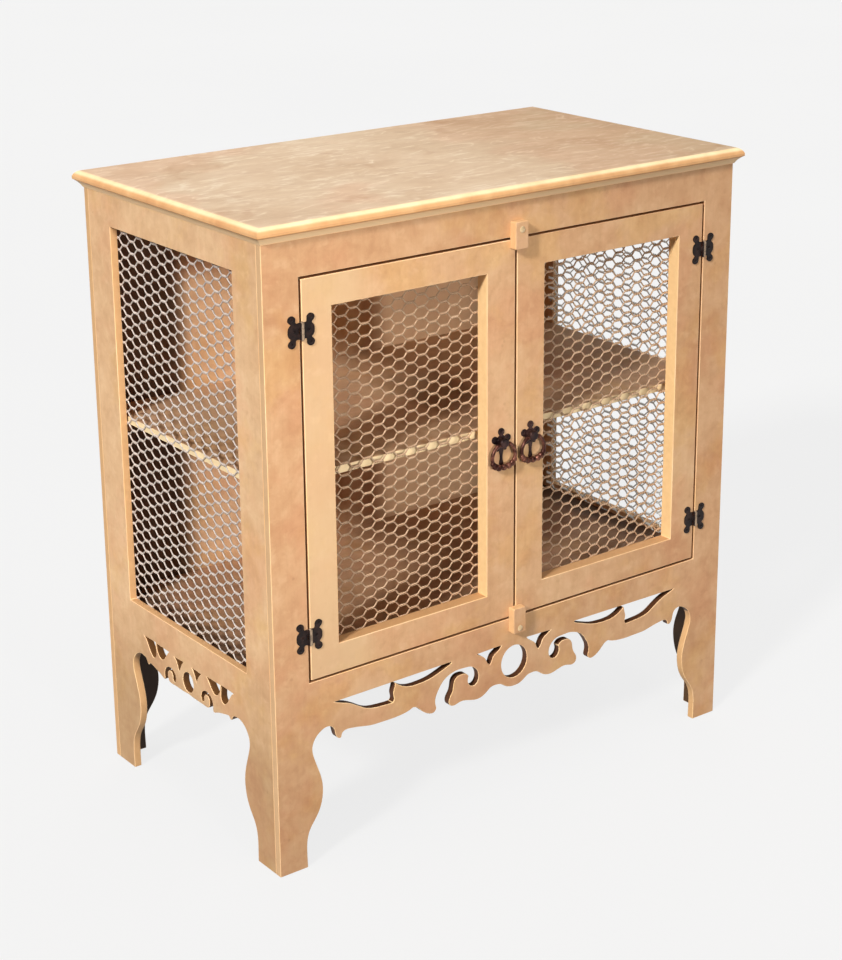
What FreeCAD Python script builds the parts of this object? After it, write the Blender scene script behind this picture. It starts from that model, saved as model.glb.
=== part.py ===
import FreeCAD, Part
import math
import os

# Pie safe: a small two-door cupboard on shaped legs, with wire netting in the
# doors and in both sides, a level shelf inside, a moulded top board and a
# fretwork apron. Millimetres. The construction below works in carcass
# coordinates: X from the left face, Y from the front face towards the back,
# Z from the floor. Every solid is then moved so that the origin stands on the
# floor under the middle of the carcass, with -Y out of the front.

V = FreeCAD.Vector
os.makedirs("parts", exist_ok=True)

# ---- driving dimensions ----------------------------------------------------
W = 700.0            # carcass width
D = 390.0            # carcass depth
H_BODY = 754.0       # underside of the top board
TOP_T = 20.0         # top board thickness
OVERHANG = 10.0      # top board past the carcass, all four sides
T = 9.5              # carcass boards
CX, CY = W / 2.0, D / 2.0

OPEN_X0, OPEN_X1 = 47.0, 653.0      # door opening in the front frame
OPEN_Z0, OPEN_Z1 = 234.0, 712.0
DOOR_T = 18.0
DOOR_Z0, DOOR_Z1 = 237.0, 709.0
DOOR_IN, DOOR_OUT = 348.5, 50.0     # left door's meeting edge and hinge edge
WIN_X0, WIN_X1 = 89.5, 306.5        # left door's window
WIN_Z0, WIN_Z1 = 272.5, 673.5

SWIN_Y0, SWIN_Y1 = 59.5, D - 59.5   # side windows
SWIN_Z0, SWIN_Z1 = 238.0, 715.0

FLOOR_TOP, FLOOR_T = 230.0, 9.5
SHELF_TOP, SHELF_T = 477.0, 9.5
SHELF_Y0 = 24.0
SHELF_GAP = 11.5                     # shelf end to the outside face

NET_T = 1.2                          # netting, wire thickness
NET_LAP = 7.0                        # netting past the window, under staples
CELL_DX, CELL_DZ = 16.6, 14.6        # netting column spacing and row pitch
CELL_TWIST = 10.0                    # length of a twisted joint
WIRE = 1.3                           # wire width

HINGE_X, HINGE_Y = 48.5, -2.7        # hinge axis in plan
HINGE_Z = (652.0, 292.0)
LEAF_T = 1.4
KNUCKLE_R = 2.6
PIN_R, PIN_FIT = 1.2, 0.07
KNUCKLE_HALF = 9.5
KNUCKLE_SPLIT = 3.2

BUTTON_W, BUTTON_T, BUTTON_GAP = 19.0, 10.5, 0.3
UP_BUTTON = (698.5, 731.5, 722.0)    # bottom, top, screw height
LOW_BUTTON = (216.5, 249.5, 223.0)
BUTTON_PIVOT_R, BUTTON_FIT = 1.9, 0.07

PULL_X, PULL_Z = 327.5, 466.0        # left pull's boss
RING_Y, RING_Z = -5.8, 463.0         # ring's pivot
RING_R, RING_PIN_R, RING_FIT = 2.3, 1.4, 0.06


# ---- helpers -----------------------------------------------------------------
def put(name, shape):
    """Move a finished node to the row's origin and write it."""
    solids = [s.copy() for s in shape.Solids]
    for s in solids:
        s.translate(V(-CX, -CY, 0))
    out = solids[0] if len(solids) == 1 else Part.Compound(solids)
    bad = [i for i, s in enumerate(solids) if not s.isValid() or s.Volume <= 0]
    out.exportStep("parts/%s.step" % name)
    b = out.BoundBox
    print("%-26s solids %3d faces %5d vol %10.1f  x %7.1f %7.1f  y %7.1f %7.1f  z %6.1f %6.1f %s" % (
        name, len(solids), len(out.Faces), out.Volume,
        b.XMin, b.XMax, b.YMin, b.YMax, b.ZMin, b.ZMax, "BAD %s" % bad if bad else ""))
    return out


def box(x0, x1, y0, y1, z0, z1):
    return Part.makeBox(x1 - x0, y1 - y0, z1 - z0, V(x0, y0, z0))


def edge_run(pts):
    """Straight edge through two points, smooth curve through more."""
    if len(pts) == 2:
        return Part.LineSegment(pts[0], pts[1]).toShape()
    c = Part.BSplineCurve()
    c.interpolate(pts)
    return c.toShape()


def loop(runs, to3):
    """Closed wire from runs of 2-D points; each run starts where the last ended."""
    edges = []
    for i, run in enumerate(runs):
        nxt = runs[(i + 1) % len(runs)][0]
        pts = [to3(*p) for p in run]
        if (pts[-1] - to3(*nxt)).Length > 1e-6:
            pts.append(to3(*nxt))
        edges.append(edge_run(pts))
    return Part.Wire(edges)


def prism(wire, vec):
    return Part.Face(wire).extrude(vec)


def front_pt(y):
    return lambda x, z: V(x, y, z)


def side_pt(x):
    return lambda y, z: V(x, y, z)


def mirror_x(shape):
    return shape.mirror(V(CX, 0, 0), V(1, 0, 0))


def cyl_y(r, x, z, y0, y1):
    return Part.makeCylinder(r, y1 - y0, V(x, y0, z), V(0, 1, 0))


def cyl_z(r, x, y, z0, z1):
    return Part.makeCylinder(r, z1 - z0, V(x, y, z0), V(0, 0, 1))


def cyl_x(r, y, z, x0, x1):
    return Part.makeCylinder(r, x1 - x0, V(x0, y, z), V(1, 0, 0))


# ---- leg and fretwork outlines (left half, X from the left face) --------------
LEG = [(38.5, 0), (38.2, 12), (38, 24), (39.3, 38), (43.6, 49.5), (50.4, 59),
       (58, 72), (61.3, 84), (62.3, 97), (59.8, 112.5), (53.5, 131), (50, 142),
       (49, 151)]

F_NOTCH = LEG + [(54, 163), (61, 169), (69, 172), (76.5, 170.3), (80, 166),
                 (81.5, 160), (86, 152.5)]
F_LOWER = [(86, 152.5), (89.5, 153), (91, 157.5), (95, 160), (104, 160),
           (118, 157.6), (132, 154.8), (146, 154.3), (160.6, 153.9),
           (175, 154.5), (187, 156.4), (194, 159)]
F_TAIL = [(194, 159), (200, 157), (206, 151.5), (213, 146), (219, 143.2),
          (225, 143), (228.5, 146.5), (227.5, 154), (228.5, 163),
          (233, 171.5), (240, 180.3), (249.5, 185.7), (261, 188.3),
          (272, 188), (282, 186.8), (289, 182.5), (293, 176.5), (294, 170),
          (292, 164), (287, 160.6), (282, 161.5), (278, 166),
          (277.3, 171), (278.5, 175.5)]
F_SCROLL = [(278.5, 175.5), (274, 179.8), (267, 180.8), (260.5, 179.3),
            (256, 173.8), (254.7, 166.5), (252.5, 160), (249, 154.5),
            (248, 149), (250, 144.8), (256, 142.8), (264, 144.6),
            (273, 144.5), (283, 141.8), (292, 140.5), (300, 142), (307, 146),
            (313, 150), (321, 151), (329, 149.5), (336, 145), (343, 142.3),
            (350, 141.7)]

F_HOLE12 = [
    [(81, 200.5), (252, 201.8)],
    [(252, 201.8), (252, 199.8)],
    [(252, 199.8), (244, 196.8), (236, 194), (227, 191), (218, 188.8),
     (208, 187.8), (198, 187.5), (187, 188.7), (177, 192.5), (168.5, 198.7)],
    [(168.5, 198.7), (166.6, 191.5), (165.3, 185), (166.3, 178), (164, 174.5)],
    [(164, 174.5), (157, 174.6), (147, 175.2), (136, 176.3), (126, 179),
     (117, 184), (108, 189.5), (96, 195), (84, 199), (81, 200.5)],
]
F_HOLE3 = [
    [(291, 200.5), (330, 201.5)],
    [(330, 201.5), (322, 194.2), (316.5, 190), (314, 184.5), (311.5, 180.5)],
    [(311.5, 180.5), (307.5, 185), (304.5, 191), (298.5, 196), (291, 200.5)],
]
F_OVAL = (350.0, 174.7, 20.5, 21.5)

# the side aprons: the same legs set in by the front board, and a shorter fret
S_NOTCH = [(y + T, z) for y, z in LEG] + [
    (63.5, 163), (70.5, 169), (78.5, 172), (86.5, 172), (93, 170), (95.5, 167),
    (98, 163.5)]
S_LOWER = [(98, 163.5), (100, 164.8), (102, 167), (106, 167), (112, 165.5),
           (127, 161.8), (134, 159), (137.6, 158.6), (138.4, 160.5),
           (138.2, 166), (141, 174), (146, 178), (152, 179.4), (158.5, 178.4),
           (163.5, 174.5), (165.2, 168), (162.5, 163.6), (158.8, 165.2),
           (158.6, 169), (157, 173)]
S_SCROLL = [(157, 173), (152, 175.2), (147.2, 172.8), (145.8, 168.4),
            (146.4, 163.4), (148.4, 160.2), (153, 158.8), (160, 159),
            (177, 159), (195, 160)]
S_HOLE1 = [
    [(90.5, 200.5), (119, 201)],
    [(119, 201), (118.3, 196), (119.3, 188), (118.5, 182)],
    [(118.5, 182), (112, 178.5), (105.5, 183), (99, 192), (90.5, 200.5)],
]
S_HOLE2 = [
    [(120.6, 200.2), (151, 199.8)],
    [(151, 199.8), (145.5, 194), (140, 187.5), (133, 183), (127, 184.8),
     (123, 189), (120.6, 200.2)],
]
S_HOLE3 = [
    [(163.5, 197.8), (185.5, 198.6)],
    [(185.5, 198.6), (180.5, 193.5), (177.5, 188), (175, 182.7)],
    [(175, 182.7), (172, 188.5), (169, 193), (163.5, 197.8)],
]
S_OVAL = (CY, 175.5, 12.5, 13.0)

# the back board's plain lower edge
B_SHOULDER = LEG + [(50.5, 165), (56, 182), (66, 194), (80, 199.5), (92, 200)]


def flip(runs, about):
    """The same runs mirrored and walked the other way round."""
    return [[(2 * about - u, z) for u, z in reversed(run)] for run in reversed(runs)]


def sheet_outline(left_runs, u0, u1, to3):
    """Board outline: up one side, across the top, down the other, then the legs
    and the apron. left_runs go from the foot at u0 to the middle."""
    mid = (u0 + u1) / 2.0
    foot = left_runs[0][0][0]
    runs = [[(foot, 0), (u0, 0)], [(u0, 0), (u0, H_BODY)],
            [(u0, H_BODY), (u1, H_BODY)], [(u1, H_BODY), (u1, 0)],
            [(u1, 0), (2 * mid - foot, 0)]]
    right = flip(left_runs, mid)       # goes from the middle to the far foot
    # walk from the far foot to the middle, then from the middle to the near foot
    runs += [list(reversed(r)) for r in reversed(right)]
    runs += [list(reversed(r)) for r in reversed(left_runs)]
    return loop(runs, to3)


def both_ways(runs, about):
    return [runs, flip(runs, about)]


# ---- front frame ---------------------------------------------------------------
def ellipse_prism(cu, cz, ru, rz, to3, vec):
    n = 24
    pts = [to3(cu + ru * math.cos(2 * math.pi * i / n), cz + rz * math.sin(2 * math.pi * i / n))
           for i in range(n)]
    c = Part.BSplineCurve()
    c.interpolate(Points=pts, PeriodicFlag=True)
    return prism(Part.Wire([c.toShape()]), vec)


def front_frame():
    p = front_pt(0)
    s = prism(sheet_outline([F_NOTCH, F_LOWER, F_TAIL, F_SCROLL], 0, W, p), V(0, T, 0))
    q = front_pt(-1)
    cuts = [box(OPEN_X0, OPEN_X1, -1, T + 1, OPEN_Z0, OPEN_Z1)]
    for runs in both_ways(F_HOLE12, CX) + both_ways(F_HOLE3, CX):
        cuts.append(prism(loop(runs, q), V(0, T + 2, 0)))
    cuts.append(ellipse_prism(*F_OVAL, q, V(0, T + 2, 0)))
    for c in cuts:
        s = s.cut(c)
    return s


def side_panel():
    p = side_pt(0)
    s = prism(sheet_outline([S_NOTCH, S_LOWER, S_SCROLL], T, D - T, p), V(T, 0, 0))
    q = side_pt(-1)
    cuts = [box(-1, T + 1, SWIN_Y0, SWIN_Y1, SWIN_Z0, SWIN_Z1)]
    for runs in both_ways(S_HOLE1, CY) + both_ways(S_HOLE2, CY) + both_ways(S_HOLE3, CY):
        cuts.append(prism(loop(runs, q), V(T + 2, 0, 0)))
    cuts.append(ellipse_prism(*S_OVAL, q, V(T + 2, 0, 0)))
    for c in cuts:
        s = s.cut(c)
    return s


def back_panel():
    p = front_pt(D - T)
    lower = [B_SHOULDER, [(92, 200), (CX, 200)]]
    return prism(sheet_outline(lower, 0, W, p), V(0, T, 0))


# ---- top board -------------------------------------------------------------------
def top_section(half, to3):
    """Flat top, rounded nose, small quirk and a cove below it."""
    z0, z1 = H_BODY, H_BODY + TOP_T

    def edges(sign):
        def q(over, z):
            return to3(sign * (half + over), z)
        return [
            Part.Arc(q(0.5, z1), q(6.4, z1 - 2.3), q(OVERHANG, z1 - 7.6)).toShape(),
            Part.LineSegment(q(OVERHANG, z1 - 7.6), q(OVERHANG, z1 - 10.6)).toShape(),
            Part.LineSegment(q(OVERHANG, z1 - 10.6), q(8.6, z1 - 11.4)).toShape(),
            Part.Arc(q(8.6, z1 - 11.4), q(4.1, z0 + 4.7), q(1.0, z0)).toShape(),
        ]
    e = edges(1) + edges(-1)
    e.append(Part.LineSegment(to3(half + 0.5, z1), to3(-half - 0.5, z1)).toShape())
    e.append(Part.LineSegment(to3(half + 1.0, z0), to3(-half - 1.0, z0)).toShape())
    return Part.Wire(Part.__sortEdges__(e))


def top_board():
    a = prism(top_section(W / 2, lambda u, z: V(CX + u, -40, z)), V(0, D + 80, 0))
    b = prism(top_section(D / 2, lambda u, z: V(-40, CY + u, z)), V(W + 80, 0, 0))
    return a.common(b)


# ---- netting ----------------------------------------------------------------------
def net_plate(u0, u1, z0, z1, to3, vec, cu, cz):
    """Hexagonal netting as a thin pierced sheet. (cu, cz) is a cell's centre."""
    w = WIRE / 2.0
    margin = 0.9
    holes = []
    half_t, slope = CELL_TWIST / 2.0, CELL_DX - CELL_TWIST
    # inset corners of the cell by half a wire
    dz = CELL_DZ / 2.0 - w
    ang = math.atan2(CELL_DZ / 2.0, slope)
    k = w * (1 - math.cos(ang)) / math.sin(ang)
    tip = half_t + slope - w / math.sin(ang)
    flat = half_t - k
    i0 = int((u0 - cu) / CELL_DX) - 2
    i1 = int((u1 - cu) / CELL_DX) + 2
    j0 = int((z0 - cz) / CELL_DZ) - 2
    j1 = int((z1 - cz) / CELL_DZ) + 2
    for i in range(i0, i1 + 1):
        for j in range(j0, j1 + 1):
            u = cu + i * CELL_DX
            z = cz + j * CELL_DZ + (CELL_DZ / 2.0 if i % 2 else 0.0)
            if u - tip < u0 + margin or u + tip > u1 - margin:
                continue
            if z - dz < z0 + margin or z + dz > z1 - margin:
                continue
            pts = [(u - tip, z), (u - flat, z - dz), (u + flat, z - dz),
                   (u + tip, z), (u + flat, z + dz), (u - flat, z + dz)]
            holes.append(Part.makePolygon([to3(*p) for p in pts] + [to3(*pts[0])]))
    rim = [(u0, z0), (u1, z0), (u1, z1), (u0, z1)]
    outer = Part.makePolygon([to3(*p) for p in rim] + [to3(*rim[0])])
    face = Part.makeFace([outer] + holes, "Part::FaceMakerBullseye")
    return face.extrude(vec)


def staple(centre, along, out, depth):
    """Square-wire staple: a crown on the netting and two legs into the wood.
    centre is on the netting's face, out points away from the wood."""
    span, w = 9.0, 1.1
    side = along.cross(out)
    o = centre - along * (span / 2) - side * (w / 2)

    def bar(origin, a, b, c):
        pts = [origin, origin + a, origin + a + b, origin + b, origin]
        return Part.Face(Part.makePolygon(pts)).extrude(c)
    crown = bar(o, along * span, side * w, out * 0.9)
    leg1 = bar(o, along * w, side * w, out * -depth)
    leg2 = bar(o + along * (span - w), along * w, side * w, out * -depth)
    return crown.fuse(leg1).fuse(leg2).removeSplitter()


# ---- hinges --------------------------------------------------------------------------
LEAF_UP = [
    [(2.8, 0), (2.8, 9.2)],
    [(2.8, 9.2), (5.6, 9.2)],
    [(5.6, 9.2), (7.0, 9.6), (7.5, 11.3), (7.4, 13.6), (8.3, 16.2), (10.6, 18.0),
     (13.6, 18.2), (16.3, 16.7), (17.4, 14.2), (16.7, 11.5), (14.6, 9.4),
     (13.7, 8.2), (14.6, 7.0), (16.3, 5.2), (17.2, 2.8), (17.3, 0)],
]
SCREW_AT = [(12.6, 14.0), (12.6, -14.0), (9.6, 0.0)]


def leaf(sign, z, centre_knuckle):
    """Butterfly leaf on the face y = 0. sign -1 is the frame's side, +1 the door's."""
    down = [[(u, -v) for u, v in reversed(r)] for r in reversed(LEAF_UP)]
    to3 = lambda u, v: V(HINGE_X + sign * u, -LEAF_T, z + v)
    s = prism(loop(LEAF_UP + down, to3), V(0, LEAF_T, 0))
    if centre_knuckle:
        spans = [(-KNUCKLE_SPLIT + 0.15, KNUCKLE_SPLIT - 0.15)]
    else:
        spans = [(-KNUCKLE_HALF, -KNUCKLE_SPLIT), (KNUCKLE_SPLIT, KNUCKLE_HALF)]
    for a, b in spans:
        a, b = z + a, z + b
        s = s.fuse(cyl_z(KNUCKLE_R, HINGE_X, HINGE_Y, a, b))
        x = sorted((HINGE_X, HINGE_X + sign * 3.4))
        s = s.fuse(box(x[0], x[1], -LEAF_T - 0.6, -0.05, a, b))
    s = s.cut(cyl_z(PIN_R + PIN_FIT, HINGE_X, HINGE_Y, z - 30, z + 30))
    for u, v in SCREW_AT:
        s = s.cut(cyl_y(1.25, HINGE_X + sign * u, z + v, -LEAF_T - 1, 1))
    return s.removeSplitter()


def hinge_pin(z):
    p = cyl_z(PIN_R, HINGE_X, HINGE_Y, z - KNUCKLE_HALF - 0.2, z + KNUCKLE_HALF + 0.2)
    for e in (-1, 1):
        z0 = z + e * (KNUCKLE_HALF + 0.15)
        cap = Part.makeCone(2.1, 1.2, 1.1, V(HINGE_X, HINGE_Y, z0), V(0, 0, e))
        p = p.fuse(cap)
    return p.removeSplitter()


def leaf_screw(x, z):
    """Low round head on the leaf and a shank in the wood."""
    r, h = 2.1, 0.9
    rad = (r * r + h * h) / (2 * h)
    ball = Part.makeSphere(rad, V(x, -LEAF_T - h + rad, z))
    head = ball.common(cyl_y(r + 1, x, z, -LEAF_T - h - 1, -LEAF_T))
    slot = box(x - 3, x + 3, -LEAF_T - h - 1, -LEAF_T - h + 0.45, z - 0.3, z + 0.3)
    return head.cut(slot).fuse(cyl_y(1.15, x, z, -LEAF_T, 7.0)).removeSplitter()


# ---- turn buttons ------------------------------------------------------------------------
def turn_button(z0, z1, zs):
    x0, x1 = CX - BUTTON_W / 2, CX + BUTTON_W / 2
    b = box(x0, x1, -BUTTON_GAP - BUTTON_T, -BUTTON_GAP, z0, z1)
    upright = [e for e in b.Edges
               if abs(e.Vertexes[0].Y - e.Vertexes[1].Y) > 1]
    b = b.makeFillet(1.8, upright)
    face_y = -BUTTON_GAP - BUTTON_T
    front = [e for e in b.Edges
             if all(abs(v.Y - face_y) < 1e-4 for v in e.Vertexes)]
    b = b.makeFillet(1.1, front)
    return b.cut(cyl_y(BUTTON_PIVOT_R + BUTTON_FIT, CX, zs, face_y - 1, 1))


def button_screw(zs):
    face_y = -BUTTON_GAP - BUTTON_T
    r, h = 3.9, 1.7
    rad = (r * r + h * h) / (2 * h)
    y = face_y - 0.1
    ball = Part.makeSphere(rad, V(CX, y - h + rad, zs))
    head = ball.common(cyl_y(r + 1, CX, zs, y - h - 1, y))
    slot = box(CX - 5, CX + 5, y - h - 1, y - h + 0.7, zs - 0.45, zs + 0.45)
    return head.cut(slot).fuse(cyl_y(BUTTON_PIVOT_R, CX, zs, y, 8.0)).removeSplitter()


# ---- ring pull ------------------------------------------------------------------------------
def pull_plate():
    x, z = PULL_X, PULL_Z
    t = 1.6
    s = cyl_y(8.2, x, z, -t, 0)
    s = s.fuse(cyl_y(4.6, x, z + 12.6, -t, 0))
    s = s.fuse(box(x - 2.6, x + 2.6, -t, 0, z + 5, z + 12))
    for e in (-1, 1):
        s = s.fuse(cyl_y(4.6, x + e * 9.6, z + 3.6, -t, 0))
        s = s.fuse(cyl_y(2.6, x + e * 5.6, z - 8.6, -t, 0))
    tail = [[(-4.6, -5), (4.6, -5)],
            [(4.6, -5), (3.2, -11), (2.0, -17), (2.0, -22), (3.1, -26)],
            [(3.1, -26), (2.4, -28.8), (0, -30.2), (-2.4, -28.8), (-3.1, -26)],
            [(-3.1, -26), (-2.0, -22), (-2.0, -17), (-3.2, -11), (-4.6, -5)]]
    s = s.fuse(prism(loop(tail, lambda u, v: V(x + u, -t, z + v)), V(0, t, 0)))
    boss = cyl_y(6.2, x, z, -9.4, -t + 0.2)
    rim = [e for e in boss.Edges if abs(e.BoundBox.YMin + 9.4) < 1e-4 and abs(e.BoundBox.YMax + 9.4) < 1e-4]
    boss = boss.makeFillet(2.0, rim)
    s = s.fuse(boss)
    for u, v, r in ((0, 12.6, 2.6), (-9.6, 3.6, 2.6), (9.6, 3.6, 2.6)):
        rad = 4.0
        c = Part.makeSphere(rad, V(x + u, -t - 1.0 + rad, z + v)).common(
            cyl_y(r, x + u, z + v, -t - 1.6, -t + 0.2))
        s = s.fuse(c)
    s = s.cut(cyl_x(RING_PIN_R + RING_FIT, RING_Y, RING_Z, x - 12, x + 12))
    return s.removeSplitter()


def pull_bolt():
    """Wood screw from inside the door into the back of the pull."""
    x, z = PULL_X, PULL_Z + 1.0
    r, h = 4.2, 2.2
    rad = (r * r + h * h) / (2 * h)
    ball = Part.makeSphere(rad, V(x, DOOR_T + h - rad, z))
    head = ball.common(cyl_y(r + 1, x, z, DOOR_T, DOOR_T + h + 1))
    slot = box(x - 5, x + 5, DOOR_T + h - 0.8, DOOR_T + h + 1, z - 0.5, z + 0.5)
    return head.cut(slot).fuse(cyl_y(1.9, x, z, -1.4, DOOR_T)).removeSplitter()


# centre line of the ring from its lowest point up to the pivot: tangent arcs
RING_LINE = [(0, -27.0), (7.25, -26.3), (13.56, -23.15), (16.7, -18.5),
             (17.42, -13.09), (16.07, -8.06), (13.23, -3.51), (9.98, -0.1)]
BEAD_AXIS = V(0.3, 1, 0.2)      # tilted, so a bead's seam and poles stay clear of the wire's


def ring_side(sign):
    """One side of the ring as round wire bent through tangent arcs."""
    x, y, z = PULL_X, RING_Y, RING_Z
    heading, out = 0.0, []
    for (a, b), (c, d) in zip(RING_LINE[:-1], RING_LINE[1:]):
        chord = math.degrees(math.atan2(d - b, c - a)) % 360
        half = chord - heading
        r = math.hypot(c - a, d - b) / (2 * math.sin(math.radians(half)))
        t = math.radians(heading)
        prof = Part.Face(Part.Wire([Part.makeCircle(
            RING_R, V(x + sign * a, y, z + b), V(sign * math.cos(t), 0, math.sin(t)))]))
        centre = V(x + sign * (a - r * math.sin(t)), y, z + b + r * math.cos(t))
        out.append(prof.revolve(centre, V(0, -sign, 0), 2 * half))
        heading = chord + half
    return out


def pull_ring():
    x, y, z = PULL_X, RING_Y, RING_Z
    bits = ring_side(1) + ring_side(-1)
    bits.append(cyl_x(RING_PIN_R, y, z, x - 9.4, x + 9.4))
    for r, u, v in ((2.7, 9.4, 0), (4.0, 7.5, -27.0), (3.9, 12.9, -24.7), (3.3, 16.3, -20.8)):
        for e in (-1, 1):
            bits.append(Part.makeSphere(r, V(x + e * u, y, z + v), BEAD_AXIS))
    bits.append(Part.makeSphere(3.9, V(x, y, z - 27.6), BEAD_AXIS))
    return bits[0].fuse(bits[1:]).removeSplitter()


# ---- build --------------------------------------------------------------------------------------
def build():
    put("front_frame", front_frame())
    left = side_panel()
    put("left_side_panel", left)
    put("right_side_panel", mirror_x(left))
    put("back_panel", back_panel())
    put("top_board", top_board())
    put("floor_board", box(T, W - T, T, D - T, FLOOR_TOP - FLOOR_T, FLOOR_TOP))
    shelf = box(SHELF_GAP, W - SHELF_GAP, SHELF_Y0, D - T, SHELF_TOP - SHELF_T, SHELF_TOP)
    put("middle_shelf", shelf)

    # battens and blocks
    zt = H_BODY
    put("front_top_batten", box(T + 2, W - T - 2, T, T + 25, zt - 15, zt))
    put("rear_top_batten", box(T + 2, W - T - 2, D - T - 25, D - T, zt - 15, zt))
    zf = FLOOR_TOP - FLOOR_T
    put("front_floor_batten", box(T + 2, W - T - 2, T, T + 15, zf - 15, zf))
    put("rear_floor_batten", box(T + 2, W - T - 2, D - T - 15, D - T, zf - 15, zf))
    zs = SHELF_TOP - SHELF_T
    for side in ("left", "right"):
        for end, y in (("front", 24.0), ("rear", D - 44.0)):
            b = box(T, T + 15, y, y + 20, zs - 15, zs)
            put("%s_%s_shelf_rest" % (side, end), b if side == "left" else mirror_x(b))
    put("upper_door_stop", box(CX - 25, CX + 25, DOOR_T + 0.4, T + 25, 698, zt - 15))
    put("lower_door_stop", box(CX - 25, CX + 25, DOOR_T + 0.4, T + 25, FLOOR_TOP, 246))

    # side netting and staples
    net = net_plate(SWIN_Y0 - NET_LAP, SWIN_Y1 + NET_LAP, SWIN_Z0 - 6.0, SWIN_Z1 + NET_LAP,
                    side_pt(T), V(NET_T, 0, 0), CY, 476.5)
    put("left_side_netting", net)
    put("right_side_netting", mirror_x(net))
    st = []
    for z in [262, 340, 418, 512, 590, 668]:
        for y in (SWIN_Y0 - 3.6, SWIN_Y1 + 3.6):
            st.append(staple(V(T + NET_T, y, z), V(0, 0, 1), V(1, 0, 0), 6.0))
    for y in [105, 165, 225, 285]:
        for z in (SWIN_Z0 - 3.0, SWIN_Z1 + 3.6):
            st.append(staple(V(T + NET_T, y, z), V(0, 1, 0), V(1, 0, 0), 6.0))
    st = Part.Compound(st)
    put("left_side_staples", st)
    put("right_side_staples", mirror_x(st))

    # screws through the battens
    def up_screw(x, y, z0, z1):
        head = Part.makeCone(3.4, 1.6, 2.2, V(x, y, z0 - 0.02), V(0, 0, 1))
        return head.fuse(cyl_z(1.6, x, y, z0, z1)).removeSplitter()
    put("top_screws", Part.Compound([up_screw(x, y, zt - 15.02, zt + 12)
        for x in (60, 240, 460, 640) for y in (T + 12.5, D - T - 12.5)]))
    put("floor_screws", Part.Compound([up_screw(x, y, zf - 15.02, zf + 7)
        for x in (60, 240, 460, 640) for y in (T + 7.5, D - T - 7.5)]))

    # doors
    x0, x1 = DOOR_OUT, DOOR_IN
    door = box(x0, x1, 0, DOOR_T, DOOR_Z0, DOOR_Z1).cut(
        box(WIN_X0, WIN_X1, -1, DOOR_T + 1, WIN_Z0, WIN_Z1))
    put("left_door_frame", door)
    put("right_door_frame", mirror_x(door))
    dnet = net_plate(WIN_X0 - NET_LAP, WIN_X1 + NET_LAP, WIN_Z0 - NET_LAP, WIN_Z1 + NET_LAP,
                     front_pt(DOOR_T), V(0, NET_T, 0), 197.4, 477.9)
    put("left_door_netting", dnet)
    put("right_door_netting", mirror_x(dnet))
    st = []
    for z in [300, 368, 436, 510, 578, 646]:
        for x in (WIN_X0 - 3.6, WIN_X1 + 3.6):
            st.append(staple(V(x, DOOR_T + NET_T, z), V(0, 0, 1), V(0, 1, 0), 7.0))
    for x in [125, 198, 271]:
        for z in (WIN_Z0 - 3.6, WIN_Z1 + 3.6):
            st.append(staple(V(x, DOOR_T + NET_T, z), V(1, 0, 0), V(0, 1, 0), 7.0))
    st = Part.Compound(st)
    put("left_door_staples", st)
    put("right_door_staples", mirror_x(st))

    # hinges
    pins, fscrews, dscrews = [], [], []
    for level, z in zip(("upper", "lower"), HINGE_Z):
        fl = leaf(-1, z, False)
        dl = leaf(1, z, True)
        put("left_%s_frame_leaf" % level, fl)
        put("right_%s_frame_leaf" % level, mirror_x(fl))
        put("left_%s_door_leaf" % level, dl)
        put("right_%s_door_leaf" % level, mirror_x(dl))
        pins.append(hinge_pin(z))
        for u, v in SCREW_AT:
            fscrews.append(leaf_screw(HINGE_X - u, z + v))
            dscrews.append(leaf_screw(HINGE_X + u, z + v))
    put("hinge_pins", Part.Compound(pins + [mirror_x(p) for p in pins]))
    put("frame_leaf_screws", Part.Compound(fscrews + [mirror_x(p) for p in fscrews]))
    put("left_door_leaf_screws", Part.Compound(dscrews))
    put("right_door_leaf_screws", Part.Compound([mirror_x(p) for p in dscrews]))

    # ring pulls
    plate, bolt, ring = pull_plate(), pull_bolt(), pull_ring()
    put("left_pull_plate", plate)
    put("right_pull_plate", mirror_x(plate))
    put("left_pull_screw", bolt)
    put("right_pull_screw", mirror_x(bolt))
    put("left_pull_ring", ring)
    put("right_pull_ring", mirror_x(ring))

    # turn buttons
    put("upper_turn_button", turn_button(*UP_BUTTON))
    put("lower_turn_button", turn_button(*LOW_BUTTON))
    put("upper_button_screw", button_screw(UP_BUTTON[2]))
    put("lower_button_screw", button_screw(LOW_BUTTON[2]))


build()
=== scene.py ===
import bpy
import bmesh
import math
import numpy as np
from mathutils import Matrix, Vector


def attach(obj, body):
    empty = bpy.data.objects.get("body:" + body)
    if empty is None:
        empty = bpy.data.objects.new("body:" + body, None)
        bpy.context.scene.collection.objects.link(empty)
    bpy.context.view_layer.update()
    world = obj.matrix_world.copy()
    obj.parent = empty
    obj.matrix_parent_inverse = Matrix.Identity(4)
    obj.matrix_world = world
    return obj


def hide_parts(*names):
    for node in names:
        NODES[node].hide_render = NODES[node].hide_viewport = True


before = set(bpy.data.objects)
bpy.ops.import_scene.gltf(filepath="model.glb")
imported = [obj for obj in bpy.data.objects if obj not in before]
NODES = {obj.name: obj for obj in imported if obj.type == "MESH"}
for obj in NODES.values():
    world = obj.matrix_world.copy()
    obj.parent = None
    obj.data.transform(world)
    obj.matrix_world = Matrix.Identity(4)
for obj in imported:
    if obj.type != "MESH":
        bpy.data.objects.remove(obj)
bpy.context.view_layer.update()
scene = bpy.context.scene

# carcass coordinates in mm (X from the left face, Y from the front, Z from the
# floor) to the row's frame in metres
OX, OY = 350.0, 195.0


def M(x, y, z):
    return ((x - OX) / 1000.0, (y - OY) / 1000.0, z / 1000.0)


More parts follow.
